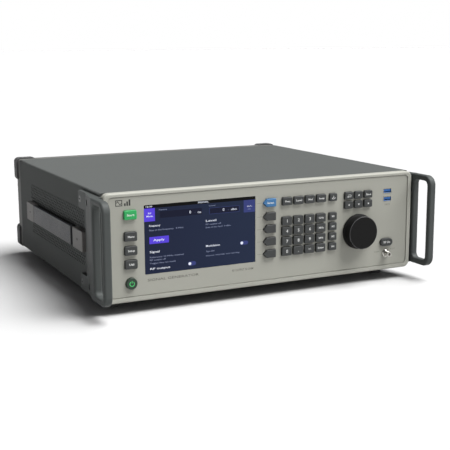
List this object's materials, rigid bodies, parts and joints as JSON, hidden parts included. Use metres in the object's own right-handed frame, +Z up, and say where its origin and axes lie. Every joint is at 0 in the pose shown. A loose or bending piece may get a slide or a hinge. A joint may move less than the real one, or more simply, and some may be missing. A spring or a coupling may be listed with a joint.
{
  "type": "signal generator",
  "caption": "Three-unit-high bench signal generator with a colour display, keypad, tuning knob, front handles, a side strap and a perforated sleeve cover.",
  "frame": {"origin": "centre of the footprint, on the surface that the lower feet stand on", "axes": "+X to the right of a user facing the panel, +Y from the front to the back, +Z up"},
  "size_m": [0.4664, 0.4414, 0.149],
  "materials": {
    "dark_key": "matte silicone",
    "green_key": "matte silicone",
    "blue_key": "matte silicone",
    "power_key": "matte silicone",
    "bezel_paint": "satin light grey",
    "panel_paint": "satin warm grey",
    "display_glass": "dark display",
    "board": "green solder mask",
    "connector_metal": "plated",
    "handle_paint": "satin dark grey",
    "sleeve_paint": "textured grey paint",
    "chassis_sheet": "bare sheet",
    "rear_paint": "satin grey",
    "rear_sheet": "satin",
    "foot_plastic": "matte moulded",
    "cap_plastic": "satin moulded",
    "strap_vinyl": "soft vinyl",
    "module_block": "tinned shields",
    "screw_steel": "zinc",
    "knob_plastic": "black",
    "fan_plastic": "black"
  },
  "bodies": {
    "case": {"case_feet": "foot_plastic", "case_screws": "screw_steel", "chassis_tray": "chassis_sheet", "circuit_boards": "board", "display_module": "display_glass", "front_bezel": "bezel_paint", "front_connectors": "connector_metal", "front_handles": "handle_paint", "front_panel": "panel_paint", "inner_modules": "module_block", "rear_connectors": "connector_metal", "rear_frame": "rear_paint", "rear_panel": "rear_sheet", "sleeve_cover": "sleeve_paint", "strap_end_caps": "cap_plastic"},
    "key_0": {"key_0": "dark_key"},
    "key_1": {"key_1": "dark_key"},
    "key_2": {"key_2": "dark_key"},
    "key_3": {"key_3": "dark_key"},
    "key_4": {"key_4": "dark_key"},
    "key_5": {"key_5": "dark_key"},
    "key_6": {"key_6": "dark_key"},
    "key_7": {"key_7": "dark_key"},
    "key_8": {"key_8": "dark_key"},
    "key_9": {"key_9": "dark_key"},
    "key_back": {"key_back": "dark_key"},
    "key_down": {"key_down": "dark_key"},
    "key_enter": {"key_enter": "dark_key"},
    "key_frequency": {"key_frequency": "dark_key"},
    "key_giga": {"key_giga": "dark_key"},
    "key_home": {"key_home": "green_key"},
    "key_kilo": {"key_kilo": "dark_key"},
    "key_left": {"key_left": "dark_key"},
    "key_level": {"key_level": "dark_key"},
    "key_mega": {"key_mega": "dark_key"},
    "key_memory_1": {"key_memory_1": "dark_key"},
    "key_memory_2": {"key_memory_2": "dark_key"},
    "key_memory_3": {"key_memory_3": "dark_key"},
    "key_memory_4": {"key_memory_4": "dark_key"},
    "key_mode_lower": {"key_mode_lower": "dark_key"},
    "key_mode_middle": {"key_mode_middle": "dark_key"},
    "key_mode_upper": {"key_mode_upper": "dark_key"},
    "key_modulation": {"key_modulation": "dark_key"},
    "key_point": {"key_point": "dark_key"},
    "key_recall": {"key_recall": "dark_key"},
    "key_rf_output": {"key_rf_output": "dark_key"},
    "key_right": {"key_right": "dark_key"},
    "key_save": {"key_save": "dark_key"},
    "key_sign": {"key_sign": "dark_key"},
    "key_sweep": {"key_sweep": "dark_key"},
    "key_up": {"key_up": "dark_key"},
    "power_button": {"power_button": "power_key"},
    "screen_key_1": {"screen_key_1": "blue_key"},
    "screen_key_2": {"screen_key_2": "dark_key"},
    "screen_key_3": {"screen_key_3": "dark_key"},
    "screen_key_4": {"screen_key_4": "dark_key"},
    "screen_key_5": {"screen_key_5": "dark_key"},
    "tuning_knob": {"tuning_knob": "knob_plastic"},
    "strap_handle": {"strap_handle": "strap_vinyl"},
    "fan_rotor": {"fan_rotor": "fan_plastic"}
  },
  "joints": [
    {"name": "key_0_press", "type": "slide", "parent": "case", "child": "key_0", "axis": [0, 1, 0], "range_m": [0, 0.0008], "stiffness_N_per_m": 220},
    {"name": "key_1_press", "type": "slide", "parent": "case", "child": "key_1", "axis": [0, 1, 0], "range_m": [0, 0.0008], "stiffness_N_per_m": 220},
    {"name": "key_2_press", "type": "slide", "parent": "case", "child": "key_2", "axis": [0, 1, 0], "range_m": [0, 0.0008], "stiffness_N_per_m": 220},
    {"name": "key_3_press", "type": "slide", "parent": "case", "child": "key_3", "axis": [0, 1, 0], "range_m": [0, 0.0008], "stiffness_N_per_m": 220},
    {"name": "key_4_press", "type": "slide", "parent": "case", "child": "key_4", "axis": [0, 1, 0], "range_m": [0, 0.0008], "stiffness_N_per_m": 220},
    {"name": "key_5_press", "type": "slide", "parent": "case", "child": "key_5", "axis": [0, 1, 0], "range_m": [0, 0.0008], "stiffness_N_per_m": 220},
    {"name": "key_6_press", "type": "slide", "parent": "case", "child": "key_6", "axis": [0, 1, 0], "range_m": [0, 0.0008], "stiffness_N_per_m": 220},
    {"name": "key_7_press", "type": "slide", "parent": "case", "child": "key_7", "axis": [0, 1, 0], "range_m": [0, 0.0008], "stiffness_N_per_m": 220},
    {"name": "key_8_press", "type": "slide", "parent": "case", "child": "key_8", "axis": [0, 1, 0], "range_m": [0, 0.0008], "stiffness_N_per_m": 220},
    {"name": "key_9_press", "type": "slide", "parent": "case", "child": "key_9", "axis": [0, 1, 0], "range_m": [0, 0.0008], "stiffness_N_per_m": 220},
    {"name": "key_back_press", "type": "slide", "parent": "case", "child": "key_back", "axis": [0, 1, 0], "range_m": [0, 0.0008], "stiffness_N_per_m": 220},
    {"name": "key_down_press", "type": "slide", "parent": "case", "child": "key_down", "axis": [0, 1, 0], "range_m": [0, 0.0008], "stiffness_N_per_m": 220},
    {"name": "key_enter_press", "type": "slide", "parent": "case", "child": "key_enter", "axis": [0, 1, 0], "range_m": [0, 0.0008], "stiffness_N_per_m": 220},
    {"name": "key_frequency_press", "type": "slide", "parent": "case", "child": "key_frequency", "axis": [0, 1, 0], "range_m": [0, 0.0008], "stiffness_N_per_m": 220},
    {"name": "key_giga_press", "type": "slide", "parent": "case", "child": "key_giga", "axis": [0, 1, 0], "range_m": [0, 0.0008], "stiffness_N_per_m": 220},
    {"name": "key_home_press", "type": "slide", "parent": "case", "child": "key_home", "axis": [0, 1, 0], "range_m": [0, 0.0008], "stiffness_N_per_m": 220},
    {"name": "key_kilo_press", "type": "slide", "parent": "case", "child": "key_kilo", "axis": [0, 1, 0], "range_m": [0, 0.0008], "stiffness_N_per_m": 220},
    {"name": "key_left_press", "type": "slide", "parent": "case", "child": "key_left", "axis": [0, 1, 0], "range_m": [0, 0.0008], "stiffness_N_per_m": 220},
    {"name": "key_level_press", "type": "slide", "parent": "case", "child": "key_level", "axis": [0, 1, 0], "range_m": [0, 0.0008], "stiffness_N_per_m": 220},
    {"name": "key_mega_press", "type": "slide", "parent": "case", "child": "key_mega", "axis": [0, 1, 0], "range_m": [0, 0.0008], "stiffness_N_per_m": 220},
    {"name": "key_memory_1_press", "type": "slide", "parent": "case", "child": "key_memory_1", "axis": [0, 1, 0], "range_m": [0, 0.0008], "stiffness_N_per_m": 220},
    {"name": "key_memory_2_press", "type": "slide", "parent": "case", "child": "key_memory_2", "axis": [0, 1, 0], "range_m": [0, 0.0008], "stiffness_N_per_m": 220},
    {"name": "key_memory_3_press", "type": "slide", "parent": "case", "child": "key_memory_3", "axis": [0, 1, 0], "range_m": [0, 0.0008], "stiffness_N_per_m": 220},
    {"name": "key_memory_4_press", "type": "slide", "parent": "case", "child": "key_memory_4", "axis": [0, 1, 0], "range_m": [0, 0.0008], "stiffness_N_per_m": 220},
    {"name": "key_mode_lower_press", "type": "slide", "parent": "case", "child": "key_mode_lower", "axis": [0, 1, 0], "range_m": [0, 0.0008], "stiffness_N_per_m": 220},
    {"name": "key_mode_middle_press", "type": "slide", "parent": "case", "child": "key_mode_middle", "axis": [0, 1, 0], "range_m": [0, 0.0008], "stiffness_N_per_m": 220},
    {"name": "key_mode_upper_press", "type": "slide", "parent": "case", "child": "key_mode_upper", "axis": [0, 1, 0], "range_m": [0, 0.0008], "stiffness_N_per_m": 220},
    {"name": "key_modulation_press", "type": "slide", "parent": "case", "child": "key_modulation", "axis": [0, 1, 0], "range_m": [0, 0.0008], "stiffness_N_per_m": 220},
    {"name": "key_point_press", "type": "slide", "parent": "case", "child": "key_point", "axis": [0, 1, 0], "range_m": [0, 0.0008], "stiffness_N_per_m": 220},
    {"name": "key_recall_press", "type": "slide", "parent": "case", "child": "key_recall", "axis": [0, 1, 0], "range_m": [0, 0.0008], "stiffness_N_per_m": 220},
    {"name": "key_rf_output_press", "type": "slide", "parent": "case", "child": "key_rf_output", "axis": [0, 1, 0], "range_m": [0, 0.0008], "stiffness_N_per_m": 220},
    {"name": "key_right_press", "type": "slide", "parent": "case", "child": "key_right", "axis": [0, 1, 0], "range_m": [0, 0.0008], "stiffness_N_per_m": 220},
    {"name": "key_save_press", "type": "slide", "parent": "case", "child": "key_save", "axis": [0, 1, 0], "range_m": [0, 0.0008], "stiffness_N_per_m": 220},
    {"name": "key_sign_press", "type": "slide", "parent": "case", "child": "key_sign", "axis": [0, 1, 0], "range_m": [0, 0.0008], "stiffness_N_per_m": 220},
    {"name": "key_sweep_press", "type": "slide", "parent": "case", "child": "key_sweep", "axis": [0, 1, 0], "range_m": [0, 0.0008], "stiffness_N_per_m": 220},
    {"name": "key_up_press", "type": "slide", "parent": "case", "child": "key_up", "axis": [0, 1, 0], "range_m": [0, 0.0008], "stiffness_N_per_m": 220},
    {"name": "power_button_press", "type": "slide", "parent": "case", "child": "power_button", "axis": [0, 1, 0], "range_m": [0, 0.0008], "stiffness_N_per_m": 220},
    {"name": "screen_key_1_press", "type": "slide", "parent": "case", "child": "screen_key_1", "axis": [0, 1, 0], "range_m": [0, 0.0008], "stiffness_N_per_m": 220},
    {"name": "screen_key_2_press", "type": "slide", "parent": "case", "child": "screen_key_2", "axis": [0, 1, 0], "range_m": [0, 0.0008], "stiffness_N_per_m": 220},
    {"name": "screen_key_3_press", "type": "slide", "parent": "case", "child": "screen_key_3", "axis": [0, 1, 0], "range_m": [0, 0.0008], "stiffness_N_per_m": 220},
    {"name": "screen_key_4_press", "type": "slide", "parent": "case", "child": "screen_key_4", "axis": [0, 1, 0], "range_m": [0, 0.0008], "stiffness_N_per_m": 220},
    {"name": "screen_key_5_press", "type": "slide", "parent": "case", "child": "screen_key_5", "axis": [0, 1, 0], "range_m": [0, 0.0008], "stiffness_N_per_m": 220},
    {"name": "tuning_knob_turn", "type": "hinge", "parent": "case", "child": "tuning_knob", "pos_m": [0.1335, -0.18435, 0.0722], "axis": [0, 1, 0], "continuous": true},
    {"name": "fan_spin", "type": "hinge", "parent": "case", "child": "fan_rotor", "pos_m": [-0.128, 0.19065, 0.0808], "axis": [0, 1, 0], "continuous": true},
    {"name": "strap_lift", "type": "slide", "parent": "case", "child": "strap_handle", "axis": [-1, 0, 0], "range_m": [0, 0.004], "stiffness_N_per_m": 400}
  ]
}
